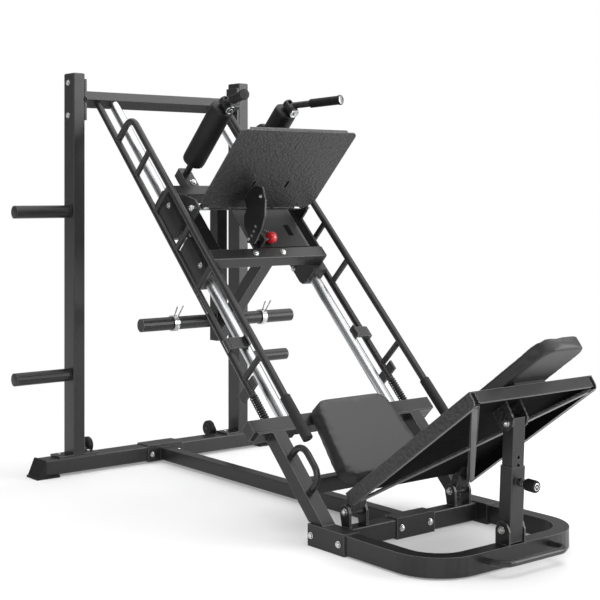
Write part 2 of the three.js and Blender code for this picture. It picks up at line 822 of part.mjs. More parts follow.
const slots = [-1, 1].map((k) =>
  stockY(13, 40, -PLATE.s - 5, -PLATE.s + 9, 6.4).translate(k * SECTOR.x, 0, 281),
);
const tread = cut(join(sheet, folded, ...gussets, hingeRod), ...slots);
place(track, "foot_plate", tread, plateSteel);

// crescent sector with the tilt holes, standing on the tread face
const sectorPlate = railSlab(
  [
    [PLATE.s + GAP, 255],
    [774, 290],
    [809, 315],
    [854, 294],
    [893, 251],
    [912, 205],
    [918, 165],
    [921, 134],
    [888, 103],
    [867, 127],
    [832, 132],
    [804, 160],
    [795, 190],
    [780, 200],
    [PLATE.s + GAP, 200],
  ],
  -SECTOR.x - 3,
  -SECTOR.x + 3,
);
const reach = Math.hypot(RELEASE.s - PIVOT.s, RELEASE.n - PIVOT.n);
const rest = Math.atan2(RELEASE.n - PIVOT.n, RELEASE.s - PIVOT.s);
const tiltHoles = [0, 1, 2, 3].map((i) => {
  const a = rest + THREE.MathUtils.degToRad(SECTOR.step * i);
  return rod("x", 6.6, -SECTOR.x - 9, -SECTOR.x + 9, 16).translate(
    0,
    -(PIVOT.s + reach * Math.cos(a)),
    PIVOT.n + reach * Math.sin(a),
  );
});
place(track, "sector_plate", cut(sectorPlate, ...tiltHoles), plateSteel);

// sprung release pin through its lug, with a ball knob
const pin = rod("x", 6, -SECTOR.x + 3.5, RELEASE.knob, 20).translate(0, -RELEASE.s, RELEASE.n);
place(track, "release_pin", pin, chrome);
const ball = [
  [0, 0],
  [9, 0],
  [11, 6],
  [16, 10],
  [17, 17],
  [16, 24],
  [11, 31],
  [0, 34],
].map(([r, t]) => new THREE.Vector2(r, t));
const knob = new THREE.LatheGeometry(ball, 24)
  .rotateZ(-Math.PI / 2)
  .translate(RELEASE.knob + GAP, -RELEASE.s, RELEASE.n);
place(track, "release_knob", knob, red);

// ---- reclining board and its cushion ------------------------------------------------
const board = new THREE.Group(); // y towards the hinge, z off the board
board.position.set(0, HINGE.y, HINGE.z);
board.rotation.x = -THREE.MathUtils.degToRad(BOARD.deg);
machine.add(board);
const boardBox = (x0, x1, u0, u1, w0, w1) => box(x0, x1, -u1, -u0, w0, w1);
const boardSlab = (points, x0, x1) => slabX(points.map(([u, w]) => [-u, w]), x0, x1);
const { u0, u1, half, low, top, t } = BOARD;
const knuckles = SIDES.map(([, side]) => {
  const x = side * HINGE.x;
  const web = boardSlab(
    [
      [-6, 10],
      [u0 + 4, top - 1],
      [u0 + 60, top - 1],
      [u0 + 40, top - 14],
      [8, -10],
    ],
    x - 29,
    x + 29,
  );
  return cut(
    join(web, rod("x", HINGE.r + 1, x - 29, x + 29, 24)),
    rod("x", HINGE.r - 4.4, x - 40, x + 40, 20),
  );
});
const top0 = POST.top[0] - HINGE.y;
const top1 = POST.top[1] - HINGE.z;
const c = Math.cos(board.rotation.x);
const d = Math.sin(board.rotation.x);
const hold = { u: -(top0 * c + top1 * d), w: top1 * c - top0 * d };
const holders = [-1, 1].map((k) =>
  boardSlab(
    [
      [hold.u - 34, top - 1],
      [hold.u - 30, hold.w - 4],
      [hold.u - 14, hold.w - 20],
      [hold.u + 14, hold.w - 20],
      [hold.u + 30, hold.w - 4],
      [hold.u + 34, top - 1],
    ],
    k * 30.5 - 3,
    k * 30.5 + 3,
  ),
);
const holdPin = rod("x", 6, -36, 36, 20).translate(0, -hold.u, hold.w);
// flat bars crossed from corner to corner under the tray
const braces = [-1, 1].map((k) => {
  const run = u1 - u0 - 30;
  const across = 2 * (half - 14);
  const flat = box(-13, 13, -Math.hypot(run, across) / 2, Math.hypot(run, across) / 2, low + 3, low + 8);
  return flat.rotateZ(k * Math.atan2(across, run)).translate(0, -(u0 + u1) / 2, 0);
});
// side flange with a rounded outer end, and an end flange with sloping ends
const sideFlange = (x0, x1) =>
  boardSlab(
    [
      [u0, top],
      [u0, low],
      [u1 - 14, low],
      [u1 - 4, low + 4],
      [u1, low + 14],
      [u1, top],
    ],
    x0,
    x1,
  );
const endShape = new THREE.Shape(
  [
    [-half + 16, top],
    [-half + 26, low + 6],
    [half - 26, low + 6],
    [half - 16, top],
  ].map(([x, w]) => new THREE.Vector2(x, w)),
);
const endFlange = prism(endShape, t)
  .rotateX(Math.PI / 2)
  .translate(0, -u1 + t, 0);
const tray = join(
  boardBox(-half, half, u0, u1, top - t, top),
  sideFlange(-half, -half + t),
  sideFlange(half - t, half),
  endFlange,
  ...braces,
  ...knuckles,
  ...holders,
  holdPin,
);
place(board, "board", tray, plateSteel);
const padLow = top + BACK.lift;
place(
  board,
  "back_pad_base",
  boardBox(-BACK.half + 24, BACK.half - 24, BACK.u0 + 20, u1 - 8, top + GAP, padLow - GAP),
  wood,
);
const backPad = prism(roundRect(2 * BACK.half, BACK.u1 - BACK.u0, 45, 5), BACK.t).translate(
  0,
  -(BACK.u0 + BACK.u1) / 2,
  padLow,
);
place(board, "back_pad", backPad, vinyl);

// ---- telescopic support post ----------------------------------------------------------
const post = new THREE.Group(); // z up the post from its lower pivot
post.position.set(0, POST.y, POST.z);
post.rotation.x = Math.atan2(POST.y - POST.top[0], POST.top[1] - POST.z);
machine.add(post);
const reachUp = Math.hypot(POST.y - POST.top[0], POST.top[1] - POST.z);
const sleeveZ = [-35, 191];
const outerShape = roundRect(POST.w, POST.d, 4);
outerShape.holes.push(
  new THREE.Path(roundRect(POST.w - 2 * POST.wall, POST.d - 2 * POST.wall, 2).getPoints()),
);
const outerTube = prism(outerShape, sleeveZ[1] - sleeveZ[0]).translate(0, 0, sleeveZ[0]);
const bush = rod("y", 13, -POST.d / 2 - 18, -POST.d / 2 + 1, 24).translate(0, 0, POST.pin);
place(
  post,
  "post_outer",
  cut(
    join(outerTube, bush),
    rod("x", 6.6, -60, 60, 20),
    rod("y", 7, -60, -10, 20).translate(0, 0, POST.pin),
  ),
  powder,
);
const innerTube = stockZ(
  POST.w - 2 * POST.wall - 2 * GAP,
  POST.d - 2 * POST.wall - 2 * GAP,
  70,
  reachUp + 16,
  3,
);
const latch = Array.from({ length: 6 }, (_, i) =>
  rod("y", 6.8, -40, -12, 16).translate(0, 0, POST.pin + POST.pitch * (i - 2)),
);
const postEye = rod("x", 9, -60, 60, 20).translate(0, 0, reachUp);
place(post, "post_inner", cut(innerTube, ...latch, postEye), powder);
const plunger = [
  [0, POST.d / 2 - POST.wall + GAP + 0.2],
  [6, POST.d / 2 - POST.wall + GAP + 0.2],
  [6, 43 + GAP],
  [13, 43 + GAP],
  [19, 50],
  [19, 88],
  [15, 96],
  [0, 97],
].map(([r, y]) => new THREE.Vector2(r, y));
const popPin = new THREE.LatheGeometry(plunger, 24).rotateX(Math.PI).translate(0, 0, POST.pin);
place(post, "post_pin", popPin, nylon);

// stand the whole on the floor with the origin under its middle
machine.updateMatrixWorld(true);
const bounds = new THREE.Box3().setFromObject(machine, true);
machine.position.set(0, -(bounds.min.y + bounds.max.y) / 2, -bounds.min.z);
const model = new THREE.Group();
model.add(machine);
export default model;
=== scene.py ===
"""Leg press and hack squat machine: finishes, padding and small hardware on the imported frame."""
import json
import math

import bmesh
import bpy
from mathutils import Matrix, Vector


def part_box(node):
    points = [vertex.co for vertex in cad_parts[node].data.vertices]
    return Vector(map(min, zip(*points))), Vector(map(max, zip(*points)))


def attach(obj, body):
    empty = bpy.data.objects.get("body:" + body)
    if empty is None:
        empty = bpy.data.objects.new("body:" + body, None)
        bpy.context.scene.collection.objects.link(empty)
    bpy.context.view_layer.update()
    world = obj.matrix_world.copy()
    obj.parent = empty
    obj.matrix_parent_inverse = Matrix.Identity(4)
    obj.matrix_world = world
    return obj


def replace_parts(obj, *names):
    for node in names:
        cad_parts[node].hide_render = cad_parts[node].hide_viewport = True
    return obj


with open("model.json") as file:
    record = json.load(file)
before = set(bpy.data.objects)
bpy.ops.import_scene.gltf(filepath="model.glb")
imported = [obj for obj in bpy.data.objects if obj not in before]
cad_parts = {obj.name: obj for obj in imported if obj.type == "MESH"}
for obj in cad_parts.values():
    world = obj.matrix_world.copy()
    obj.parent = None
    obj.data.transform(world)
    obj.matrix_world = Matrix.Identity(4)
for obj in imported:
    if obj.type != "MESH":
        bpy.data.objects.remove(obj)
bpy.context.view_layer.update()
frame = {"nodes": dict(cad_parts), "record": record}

NODES = frame["nodes"]
MM = 0.001
SIDES = {"left": -1, "right": 1}

# ---------------------------------------------------------------- places, in millimetres
# x from the machine's middle, y from the front face of the uprights, z from the floor
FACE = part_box("upright_left")[0].y
X = Vector((1, 0, 0))
Y = Vector((0, 1, 0))
Z = Vector((0, 0, 1))
# the guide rods run down along DOWN from RAIL_TOP, and OUT points away from them towards the user
DOWN = Vector((0, -1, -1)).normalized()
OUT = Vector((0, -1, 1)).normalized()
# the hinged board: ALONG runs up it from its hinge and LIFT points out of its upper face
BOARD_LEAN = math.radians(35.6)
ALONG = Vector((0, -math.cos(BOARD_LEAN), math.sin(BOARD_LEAN)))
LIFT = Vector((0, math.sin(BOARD_LEAN), math.cos(BOARD_LEAN)))
HINGE = {"x": 232, "y": -1457, "z": 110}
SEAT = {"y": -1166, "z": 418, "thick": 55}
BACK = {"u": 550, "w": 60, "side": 39}
POST_TOP = {"y": -1918, "z": 428}
ROLLER = {"x": 149, "s": 494, "low": 133, "high": 420, "clamp": 440}
LADDER_X = 314


def at(x, y, z):
    return Vector((x * MM, FACE + y * MM, z * MM))


RAIL_TOP = at(0, 20, 1480)


def rail(x, s, n):
    """A point by the rods: s down along them from the top, n out of their plane."""
    return RAIL_TOP + MM * (x * X + s * DOWN + n * OUT)


def on_board(x, u, w):
    """A point by the board: u up along it from its hinge, w out of it."""
    return at(0, HINGE["y"], HINGE["z"]) + MM * (x * X + u * ALONG + w * LIFT)


# ---------------------------------------------------------------- materials
def finish(name, colour, rough, metal=0.0, mottle=0.15, patch=60, grain=900, depth=0.1, relief=0.3,
           cells=False, stretch=(1, 1, 1), turn=0.0, **sockets):
    """A painted, plated or moulded surface: mottled colour, uneven gloss and a fine relief; with cells,
    painted shade in the relief's hollows and painted highlight on its raised tops.
    """
    material = bpy.data.materials.new(name)
    material.use_nodes = True
    tree = material.node_tree
    shader = tree.nodes["Principled BSDF"]
    shader.inputs["Metallic"].default_value = metal
    for socket, value in sockets.items():
        shader.inputs[socket.replace("_", " ")].default_value = value
    where = tree.nodes.new("ShaderNodeTexCoord")
    scale = tree.nodes.new("ShaderNodeMapping")
    scale.vector_type = "TEXTURE"
    scale.inputs["Scale"].default_value = stretch
    scale.inputs["Rotation"].default_value = (turn, 0, 0)
    tree.links.new(where.outputs["Object"], scale.inputs["Vector"])
    cloud = tree.nodes.new("ShaderNodeTexNoise")
    cloud.inputs["Scale"].default_value = patch
    cloud.inputs["Detail"].default_value = 6
    ramp = tree.nodes.new("ShaderNodeValToRGB")
    ramp.color_ramp.elements[0].position = 0.3
    ramp.color_ramp.elements[1].position = 0.7
    ramp.color_ramp.elements[0].color = [c * (1 - mottle) for c in colour] + [1]
    ramp.color_ramp.elements[1].color = [min(1, c * (1 + mottle)) for c in colour] + [1]
    gloss = tree.nodes.new("ShaderNodeMapRange")
    gloss.inputs["To Min"].default_value = rough * 0.82
    gloss.inputs["To Max"].default_value = rough * 1.18
    if cells:
        fine = tree.nodes.new("ShaderNodeTexVoronoi")
        fine.feature = "SMOOTH_F1"
        height = fine.outputs["Distance"]
    else:
        fine = tree.nodes.new("ShaderNodeTexNoise")
        fine.inputs["Detail"].default_value = 3
        height = fine.outputs["Fac"]
    fine.inputs["Scale"].default_value = grain
    bump = tree.nodes.new("ShaderNodeBump")
    bump.inputs["Strength"].default_value = depth
    bump.inputs["Distance"].default_value = relief * MM
    bump.invert = cells
    for texture in (cloud, fine):
        tree.links.new(scale.outputs["Vector"], texture.inputs["Vector"])
    tree.links.new(cloud.outputs["Fac"], ramp.inputs["Fac"])
    colour_out = ramp.outputs["Color"]
    # painted shade and highlight on the relief: with cells the colour is darkened to 0.4 in the hollows
    # between them and lightened to 1.4 on their raised tops
    if cells:
        pebble_shade = tree.nodes.new("ShaderNodeMapRange")
        pebble_shade.inputs["From Max"].default_value = 0.7
        pebble_shade.inputs["To Min"].default_value = 1.4
        pebble_shade.inputs["To Max"].default_value = 0.4
        relief_shading = tree.nodes.new("ShaderNodeMixRGB")
        relief_shading.blend_type = "MULTIPLY"
        relief_shading.inputs["Fac"].default_value = 1
        tree.links.new(height, pebble_shade.inputs["Value"])
        tree.links.new(colour_out, relief_shading.inputs["Color1"])
        tree.links.new(pebble_shade.outputs["Result"], relief_shading.inputs["Color2"])
        colour_out = relief_shading.outputs["Color"]
    tree.links.new(colour_out, shader.inputs["Base Color"])
    tree.links.new(cloud.outputs["Fac"], gloss.inputs["Value"])
    tree.links.new(gloss.outputs["Result"], shader.inputs["Roughness"])
    tree.links.new(height, bump.inputs["Height"])
    tree.links.new(bump.outputs["Normal"], shader.inputs["Normal"])
    return material


def edge_highlight(material, colour, radius, amount):
    """Painted highlight: the colour is lightened along the rounded edges, standing in for the light
    that they catch.
    """
    tree = material.node_tree
    shader = tree.nodes["Principled BSDF"]
    paint = shader.inputs["Base Color"].links[0].from_socket
    rounded = tree.nodes.new("ShaderNodeBevel")
    rounded.samples = 4
    rounded.inputs["Radius"].default_value = radius * MM
    surface = tree.nodes.new("ShaderNodeNewGeometry")
    dot = tree.nodes.new("ShaderNodeVectorMath")
    dot.operation = "DOT_PRODUCT"
    edge = tree.nodes.new("ShaderNodeMapRange")
    edge.inputs["From Min"].default_value = 1.0
    edge.inputs["From Max"].default_value = 0.8
    edge.inputs["To Max"].default_value = amount
    mix = tree.nodes.new("ShaderNodeMixRGB")
    mix.inputs["Color2"].default_value = (*colour, 1)
    tree.links.new(rounded.outputs["Normal"], dot.inputs[0])
    tree.links.new(surface.outputs["Normal"], dot.inputs[1])
    tree.links.new(dot.outputs["Value"], edge.inputs["Value"])
    tree.links.new(edge.outputs["Result"], mix.inputs["Fac"])
    tree.links.new(paint, mix.inputs["Color1"])
    tree.links.new(mix.outputs["Color"], shader.inputs["Base Color"])
    return material


# the colour of the painted edge highlights on the powder coat and the pebble coat
HIGHLIGHT_GREY = (0.26, 0.26, 0.265)
FINISHES = {
    "powder": edge_highlight(finish("powder_coat", (0.0145, 0.0145, 0.015), 0.34, grain=1500, depth=0.10,
                                Specular_IOR_Level=0.35), HIGHLIGHT_GREY, 2.4, 0.9),
    "plate": edge_highlight(finish("pebble_coat", (0.021, 0.021, 0.0215), 0.44, grain=105, depth=0.9,
                               relief=2.2, cells=True), HIGHLIGHT_GREY, 1.4, 0.9),
    # the chrome's colour mottle is stretched into streaks along the rods: painted reflection streaks in
    # its colour
    "chrome": finish("chrome", (0.52, 0.53, 0.54), 0.3, 1.0, mottle=0.42, patch=110, grain=500,
                     depth=0.03, stretch=(1, 60, 1), turn=math.radians(45)),
    "zinc": finish("bright_zinc", (0.62, 0.62, 0.60), 0.26, 1.0, mottle=0.2, patch=300, depth=0.1),
    "spring": finish("black_oxide", (0.02, 0.02, 0.021), 0.4, 0.3, mottle=0.3, patch=200),
    "vinyl": finish("vinyl", (0.0245, 0.0245, 0.0255), 0.46, mottle=0.12, patch=9, grain=1300,
                    depth=0.16, cells=True),
    "foam": finish("foam_sleeve", (0.008, 0.008, 0.0085), 0.75, mottle=0.3, patch=300, grain=1800,
                   depth=0.35),
    "rubber": finish("rubber", (0.006, 0.006, 0.0062), 0.6, mottle=0.2, patch=120, grain=1200,
                     depth=0.2, Specular_IOR_Level=0.25),
    "roller": finish("roller_vinyl", (0.009, 0.009, 0.0093), 0.5, mottle=0.15, patch=12, grain=1300,
                     depth=0.16, cells=True, Specular_IOR_Level=0.3),
    # near-black matt: painted shade, for sheets put where there is only shade in recesses, slots and
    # under the board
    "painted_shade": finish("painted_shade_black", (0.0035, 0.0035, 0.0035), 0.9, mottle=0.3, patch=40, grain=900,
                    depth=0.2, Specular_IOR_Level=0.1),
    "panel": finish("panel_coat", (0.011, 0.0115, 0.011), 0.55, mottle=0.1, grain=1500, depth=0.1,
                    Specular_IOR_Level=0.3),
    # a lighter grey for the black-painted struts: painted reflection of the floor light
    "strut": finish("strut_painted_reflection", (0.13, 0.13, 0.132), 0.4, mottle=0.15, grain=1500, depth=0.1),
    "red": finish("red_plastic", (0.5, 0.012, 0.018), 0.28, mottle=0.12, patch=80, grain=700,
                  depth=0.06, Coat_Weight=0.4),
    "nylon": finish("moulded_nylon", (0.012, 0.012, 0.0125), 0.5, mottle=0.2, grain=1100, depth=0.15),
    "plywood": finish("plywood", (0.022, 0.018, 0.015), 0.6, mottle=0.25, patch=14, grain=260,
                      depth=0.2, stretch=(0.08, 1, 1)),
}


# ---------------------------------------------------------------- mesh helpers
def smooth_group():
    """Geometry nodes that shade smooth and keep edges sharper than the given angle crisp."""
    group = bpy.data.node_groups.new("smooth_by_angle", "GeometryNodeTree")
    group.interface.new_socket("Geometry", in_out="INPUT", socket_type="NodeSocketGeometry")
    group.interface.new_socket("Geometry", in_out="OUTPUT", socket_type="NodeSocketGeometry")
    start = group.nodes.new("NodeGroupInput")
    end = group.nodes.new("NodeGroupOutput")
    faces = group.nodes.new("GeometryNodeSetShadeSmooth")
    faces.domain = "FACE"
    edges = group.nodes.new("GeometryNodeSetShadeSmooth")
    edges.domain = "EDGE"
    edges.inputs["Shade Smooth"].default_value = False
    angle = group.nodes.new("GeometryNodeInputMeshEdgeAngle")
    sharp = group.nodes.new("FunctionNodeCompare")
    sharp.operation = "GREATER_THAN"
    sharp.inputs["B"].default_value = math.radians(32)
    group.links.new(start.outputs[0], faces.inputs["Geometry"])
    group.links.new(faces.outputs[0], edges.inputs["Geometry"])
    group.links.new(angle.outputs["Unsigned Angle"], sharp.inputs["A"])
    group.links.new(sharp.outputs["Result"], edges.inputs["Selection"])
    group.links.new(edges.outputs[0], end.inputs[0])
    return group


SMOOTH = smooth_group()


def ease(obj, width, turns=2):
    """Rounds an object's hard edges by width and shades it."""
    if width:
        flat = obj.modifiers.new("flat_faces", "DECIMATE")
        flat.decimate_type = "DISSOLVE"
        flat.angle_limit = math.radians(1)
        edge = obj.modifiers.new("edges", "BEVEL")
        edge.width = width * MM
        edge.segments = turns
        edge.limit_method = "ANGLE"
        edge.angle_limit = math.radians(40)
    shade = obj.modifiers.new("shade", "NODES")
    shade.node_group = SMOOTH
    if width:
        obj.modifiers.new("normals", "WEIGHTED_NORMAL").keep_sharp = True


def piece(name, bm, body, slot, look=None, width=0.0):
    """A new piece from a bmesh, in place, riding on a body."""
    bmesh.ops.recalc_face_normals(bm, faces=bm.faces[:])
    mesh = bpy.data.meshes.new(name)
    bm.to_mesh(mesh)
    bm.free()
    obj = bpy.data.objects.new(name, mesh)
    bpy.context.scene.collection.objects.link(obj)
    mesh.materials.append(FINISHES[look or slot])
    ease(obj, width)
    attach(obj, body)
    return obj


def turned(bm, base, axis, profile, steps=28):
    """Adds a turned shape: profile holds (distance along axis, radius) in mm, closed at both ends."""
    side = axis.orthogonal().normalized()
    up = axis.cross(side).normalized()
    rings = []
    for along, radius in profile:
        centre = base + axis * along * MM
        if radius == 0:
            rings.append([bm.verts.new(centre)])
            continue
        turn = [2 * math.pi * k / steps for k in range(steps)]
        rings.append([bm.verts.new(centre + (side * math.cos(a) + up * math.sin(a)) * radius * MM)
                      for a in turn])
    for low, high in zip(rings, rings[1:]):
        for k in range(steps):
            corners = [low[k % len(low)], low[(k + 1) % len(low)],
                       high[(k + 1) % len(high)], high[k % len(high)]]
            bm.faces.new(list(dict.fromkeys(corners)))


def bolt(bm, base, axis, size=9.5, tall=6.5):
    """A washer, a chamfered hexagon head and the small dome on its top."""
    washer = size * 1.18
    turned(bm, base, axis, [(0, 0), (0, washer), (1.2, washer), (1.7, washer - 0.5), (1.7, 0)])
    turned(bm, base, axis, [(1.6, 0), (1.6, size), (tall - 1, size), (tall, size * 0.87), (tall, 0)], 6)
    dome = size * 0.62
    turned(bm, base, axis, [(tall - 0.4, 0), (tall - 0.4, dome), (tall + 0.9, dome * 0.86),
                            (tall + 1.5, dome * 0.4), (tall + 1.6, 0)], 20)


def nut(bm, base, axis, size=10.5):
    """A washer, a nut and the end of its bolt."""
    washer = size * 1.2
    turned(bm, base, axis, [(0, 0), (0, washer), (1.8, washer), (1.8, 0)])
    turned(bm, base, axis, [(1.6, 0), (1.6, size * 0.9), (2.6, size), (8.5, size), (9.5, size * 0.86),
                            (9.5, 0)], 6)
    turned(bm, base, axis, [(9, 0), (9, size * 0.52), (12, size * 0.52), (12.8, size * 0.42),
                            (12.8, 0)])


def hardware(name, body, places, make=bolt):
    """One piece holding every fastener of a kind on a body."""
    bm = bmesh.new()
    for base, axis, *size in places:
        make(bm, base, axis, *size)
    return piece(name, bm, body, "chrome", "zinc", 0.35)


def slab(bm, place, spans):
    """Adds a box between the given pairs of coordinates, placed by one of the point functions."""
    corners = [place(x, y, z) for x in spans[0] for y in spans[1] for z in spans[2]]
    verts = [bm.verts.new(c) for c in corners]
    for face in ((0, 1, 3, 2), (4, 6, 7, 5), (0, 4, 5, 1), (2, 3, 7, 6), (0, 2, 6, 4), (1, 5, 7, 3)):
        bm.faces.new([verts[k] for k in face])


def plug(bm, centre, axis, wide, deep, tall=2.5, round_by=6):
    """A moulded end plug: a low rounded lid, wide across and deep along the second direction."""
    across = X if abs(axis.x) < 0.5 else Y
    second = axis.cross(across).normalized()
    rings = []
    for level, inset in ((-0.5, 0), (tall * 0.6, 0), (tall, 1.6)):
        ring = []
        for k in range(32):
            a = 2 * math.pi * (k + 0.5) / 32
            ca, sa = math.cos(a), math.sin(a)
            x = math.copysign(wide / 2 - round_by, ca) + (round_by - inset) * ca
            y = math.copysign(deep / 2 - round_by, sa) + (round_by - inset) * sa
            ring.append(bm.verts.new(centre + MM * (x * across + y * second + level * axis)))
        rings.append(ring)
    for low, high in zip(rings, rings[1:]):
        for k in range(32):
            bm.faces.new((low[k], low[(k + 1) % 32], high[(k + 1) % 32], high[k]))
    bm.faces.new(rings[0][::-1])
    bm.faces.new(rings[-1])


# ---------------------------------------------------------------- the CAD nodes' finishes
LOOKS = {"end_clamp_left": "powder", "end_clamp_right": "powder", "release_pin": "powder",
         "sector_plate": "powder"}
EDGES = {"powder": 2.4, "plate": 1.0, "nylon": 1.0, "rubber": 0.6, "red": 2.0, "plywood": 1.0}


def dress_nodes():
    """Gives every CAD node its material, by its slot unless LOOKS says otherwise."""
    for row in frame["record"]["subparts"]:
        obj = NODES[row["node"]]
        slot = row["material_slot"]
        obj.data.materials.clear()
        obj.data.materials.append(FINISHES[LOOKS.get(row["node"], slot)])
        ease(obj, EDGES.get(slot, 0))


# ---------------------------------------------------------------- padding
VOXEL = 5.0  # of the remesh, in mm
FRAMES = 20  # steps of the simulation
HELD = 3  # how near its base a point of a pad is held, in mm
SEAM_UP = 6  # from a pad's base to the seam round its side, in mm


def baked(obj):
    """The mesh that the object's modifiers make."""
    view = bpy.context.evaluated_depsgraph_get()
    return bpy.data.meshes.new_from_object(obj.evaluated_get(view))


def inflate(obj, cap, held):
    """Cloth pressure swells the pad, and no point moves further than cap."""
    group = obj.vertex_groups.new(name="held")
    group.add([v.index for v in obj.data.vertices if held(v.co)], 1.0, "REPLACE")
    start = [v.co.copy() for v in obj.data.vertices]
    cloth = obj.modifiers.new("cloth", "CLOTH")
    cloth.settings.quality = 6
    cloth.settings.mass = 0.3
    cloth.settings.tension_stiffness = 40
    cloth.settings.compression_stiffness = 40
    cloth.settings.bending_stiffness = 15
    cloth.settings.use_pressure = True
    cloth.settings.uniform_pressure_force = 4
    cloth.settings.vertex_group_mass = "held"
    cloth.settings.effector_weights.gravity = 0
    cloth.collision_settings.use_collision = False
    for step in range(1, FRAMES + 1):
        bpy.context.scene.frame_set(step)
    swollen = baked(obj)
    obj.modifiers.remove(cloth)
    for vertex, first, last in zip(obj.data.vertices, start, swollen.vertices):
        move = last.co - first
        vertex.co = first + (move.normalized() * min(move.length, cap * MM) if move.length else move)
    bpy.context.scene.frame_set(1)


def seam(obj, name, point, normal, body, look, radius=0.9):
    """A raised stitched seam where a plane meets the pad."""
    bm = bmesh.new()
    bm.from_mesh(baked(obj))
    cut = bmesh.ops.bisect_plane(bm, geom=bm.verts[:] + bm.edges[:] + bm.faces[:], plane_co=point,
                                 plane_no=normal)
    line = {e for e in cut["geom_cut"] if isinstance(e, bmesh.types.BMEdge)}
    loops = []
    while line:
        edge = line.pop()
        loop = [edge.verts[0], edge.verts[1]]
        grown = True
        while grown:
            grown = False
            for step in [e for e in loop[-1].link_edges if e in line]:
                line.remove(step)
                loop.append(step.other_vert(loop[-1]))
                grown = True
                break
        loops.append([v.co.copy() for v in loop])
    longest = max(loops, key=len)[:-1:2]
    bm.free()
    curve = bpy.data.curves.new(name, "CURVE")
    curve.dimensions = "3D"
    curve.bevel_depth = radius * MM
    curve.bevel_resolution = 2
    spline = curve.splines.new("POLY")
    spline.points.add(len(longest) - 1)
    for spot, co in zip(spline.points, longest):
        spot.co = (*co, 1)
    spline.use_cyclic_u = True
    obj_seam = bpy.data.objects.new(name, curve)
    bpy.context.scene.collection.objects.link(obj_seam)
    curve.materials.append(FINISHES[look])
    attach(obj_seam, body)


def pad(node, body, cap, held, seams, shrink=1.0, look="vinyl"):
    """A stuffed vinyl pad grown from its CAD solid, which it replaces, with its seams."""
    name = node + "_cover"
    obj = bpy.data.objects.new(name, NODES[node].data.copy())
    bpy.context.scene.collection.objects.link(obj)
    remesh = obj.modifiers.new("voxels", "REMESH")
    remesh.mode = "VOXEL"
    remesh.voxel_size = VOXEL * MM
    relax = obj.modifiers.new("relax", "SMOOTH")
    relax.factor = 0.5
    relax.iterations = 4
    obj.data = baked(obj)
    obj.modifiers.clear()
    for vertex in obj.data.vertices:
        if not held(vertex.co):
            vertex.co -= vertex.normal * shrink * MM
    inflate(obj, cap, held)
    obj.modifiers.new("even", "SMOOTH").iterations = 8
    obj.modifiers.new("fine", "SUBSURF").levels = 1
    obj.modifiers["fine"].render_levels = 1
    obj.data = baked(obj)
    obj.modifiers.clear()
    obj.data.polygons.foreach_set("use_smooth", [True] * len(obj.data.polygons))
    obj.data.materials.clear()
    obj.data.materials.append(FINISHES[look])
    for number, (point, normal) in enumerate(seams, 1):
        seam(obj, f"{node}_seam_{number}", point, normal, body, look)
    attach(obj, body)
    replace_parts(obj, node)


def make_pads():
    """Seat, back pad and shoulder rollers; each is held where it meets what carries it."""
    seat_face = at(0, SEAT["y"], SEAT["z"])
    seat_rest = seat_face - OUT * SEAT["thick"] * MM

    def on_seat_base(co):
        return (co - seat_rest).dot(OUT) < HELD * MM

    pad("seat_pad", "frame", 4, on_seat_base,
        [(seat_face - OUT * 7 * MM, OUT), (seat_rest + OUT * SEAM_UP * MM, OUT)])
    back_rest = on_board(0, BACK["u"], BACK["w"])

    def on_back_base(co):
        return (co - back_rest).dot(LIFT) < HELD * MM

    pad("back_pad", "board", 4, on_back_base,
        [(back_rest + LIFT * BACK["side"] * MM, LIFT), (back_rest + LIFT * SEAM_UP * MM, LIFT)])
    for name, side in SIDES.items():
        core = rail(side * ROLLER["x"], ROLLER["s"], 0)

        def by_the_stem(co, core=core):
            off = co - core
            return (off - OUT * off.dot(OUT)).length < 20 * MM

        ends = [(rail(0, 0, ROLLER["low"] + 9), OUT), (rail(0, 0, ROLLER["high"] - 9), OUT)]
        pad(f"shoulder_pad_{name}", "carriage", 3, by_the_stem, ends, shrink=0.5,
            look="roller")


# ---------------------------------------------------------------- small hardware
def frame_hardware():
    """The fixed frame's bolts, the caps on the uprights and the plugs in the pegs."""
    places = []
    for side in (-1, 1):
        outward = X * side
        places += [(at(side * 425, 45, z), outward) for z in (1545, 1416)]
        places += [(at(side * 400 + k * 63, 45, 76), Z) for k in (-1, 1)]
        places += [(at(side * 345, y, 34), outward) for y in (-1380, -1514)]
        places += [(at(side * 63, -1496, 36), -Y), (at(side * 63, -4, 36), -Y)]
        places.append((at(side * 310, -1492, 27), -Y))
        places.append((at(side * 38, -1902, 107), X * side, 10.5, 8))
        for k in (-1, 1):
            places.append((at(side * HINGE["x"] + k * 39, HINGE["y"], HINGE["z"]), X * k, 10.5, 8))
    hardware("frame_bolts", "frame", places)
    bm = bmesh.new()
    for side in (-1, 1):
        plug(bm, at(side * 400, 40, 1580), Z, 46, 76)
        ring = [(0, 0), (0, 24), (1.5, 25), (4, 25), (5, 23), (5, 0)]
        for z in (1035, 390):
            turned(bm, at(side * 657, 40, z), X * side, ring)
    piece("end_plugs", bm, "frame", "nylon")


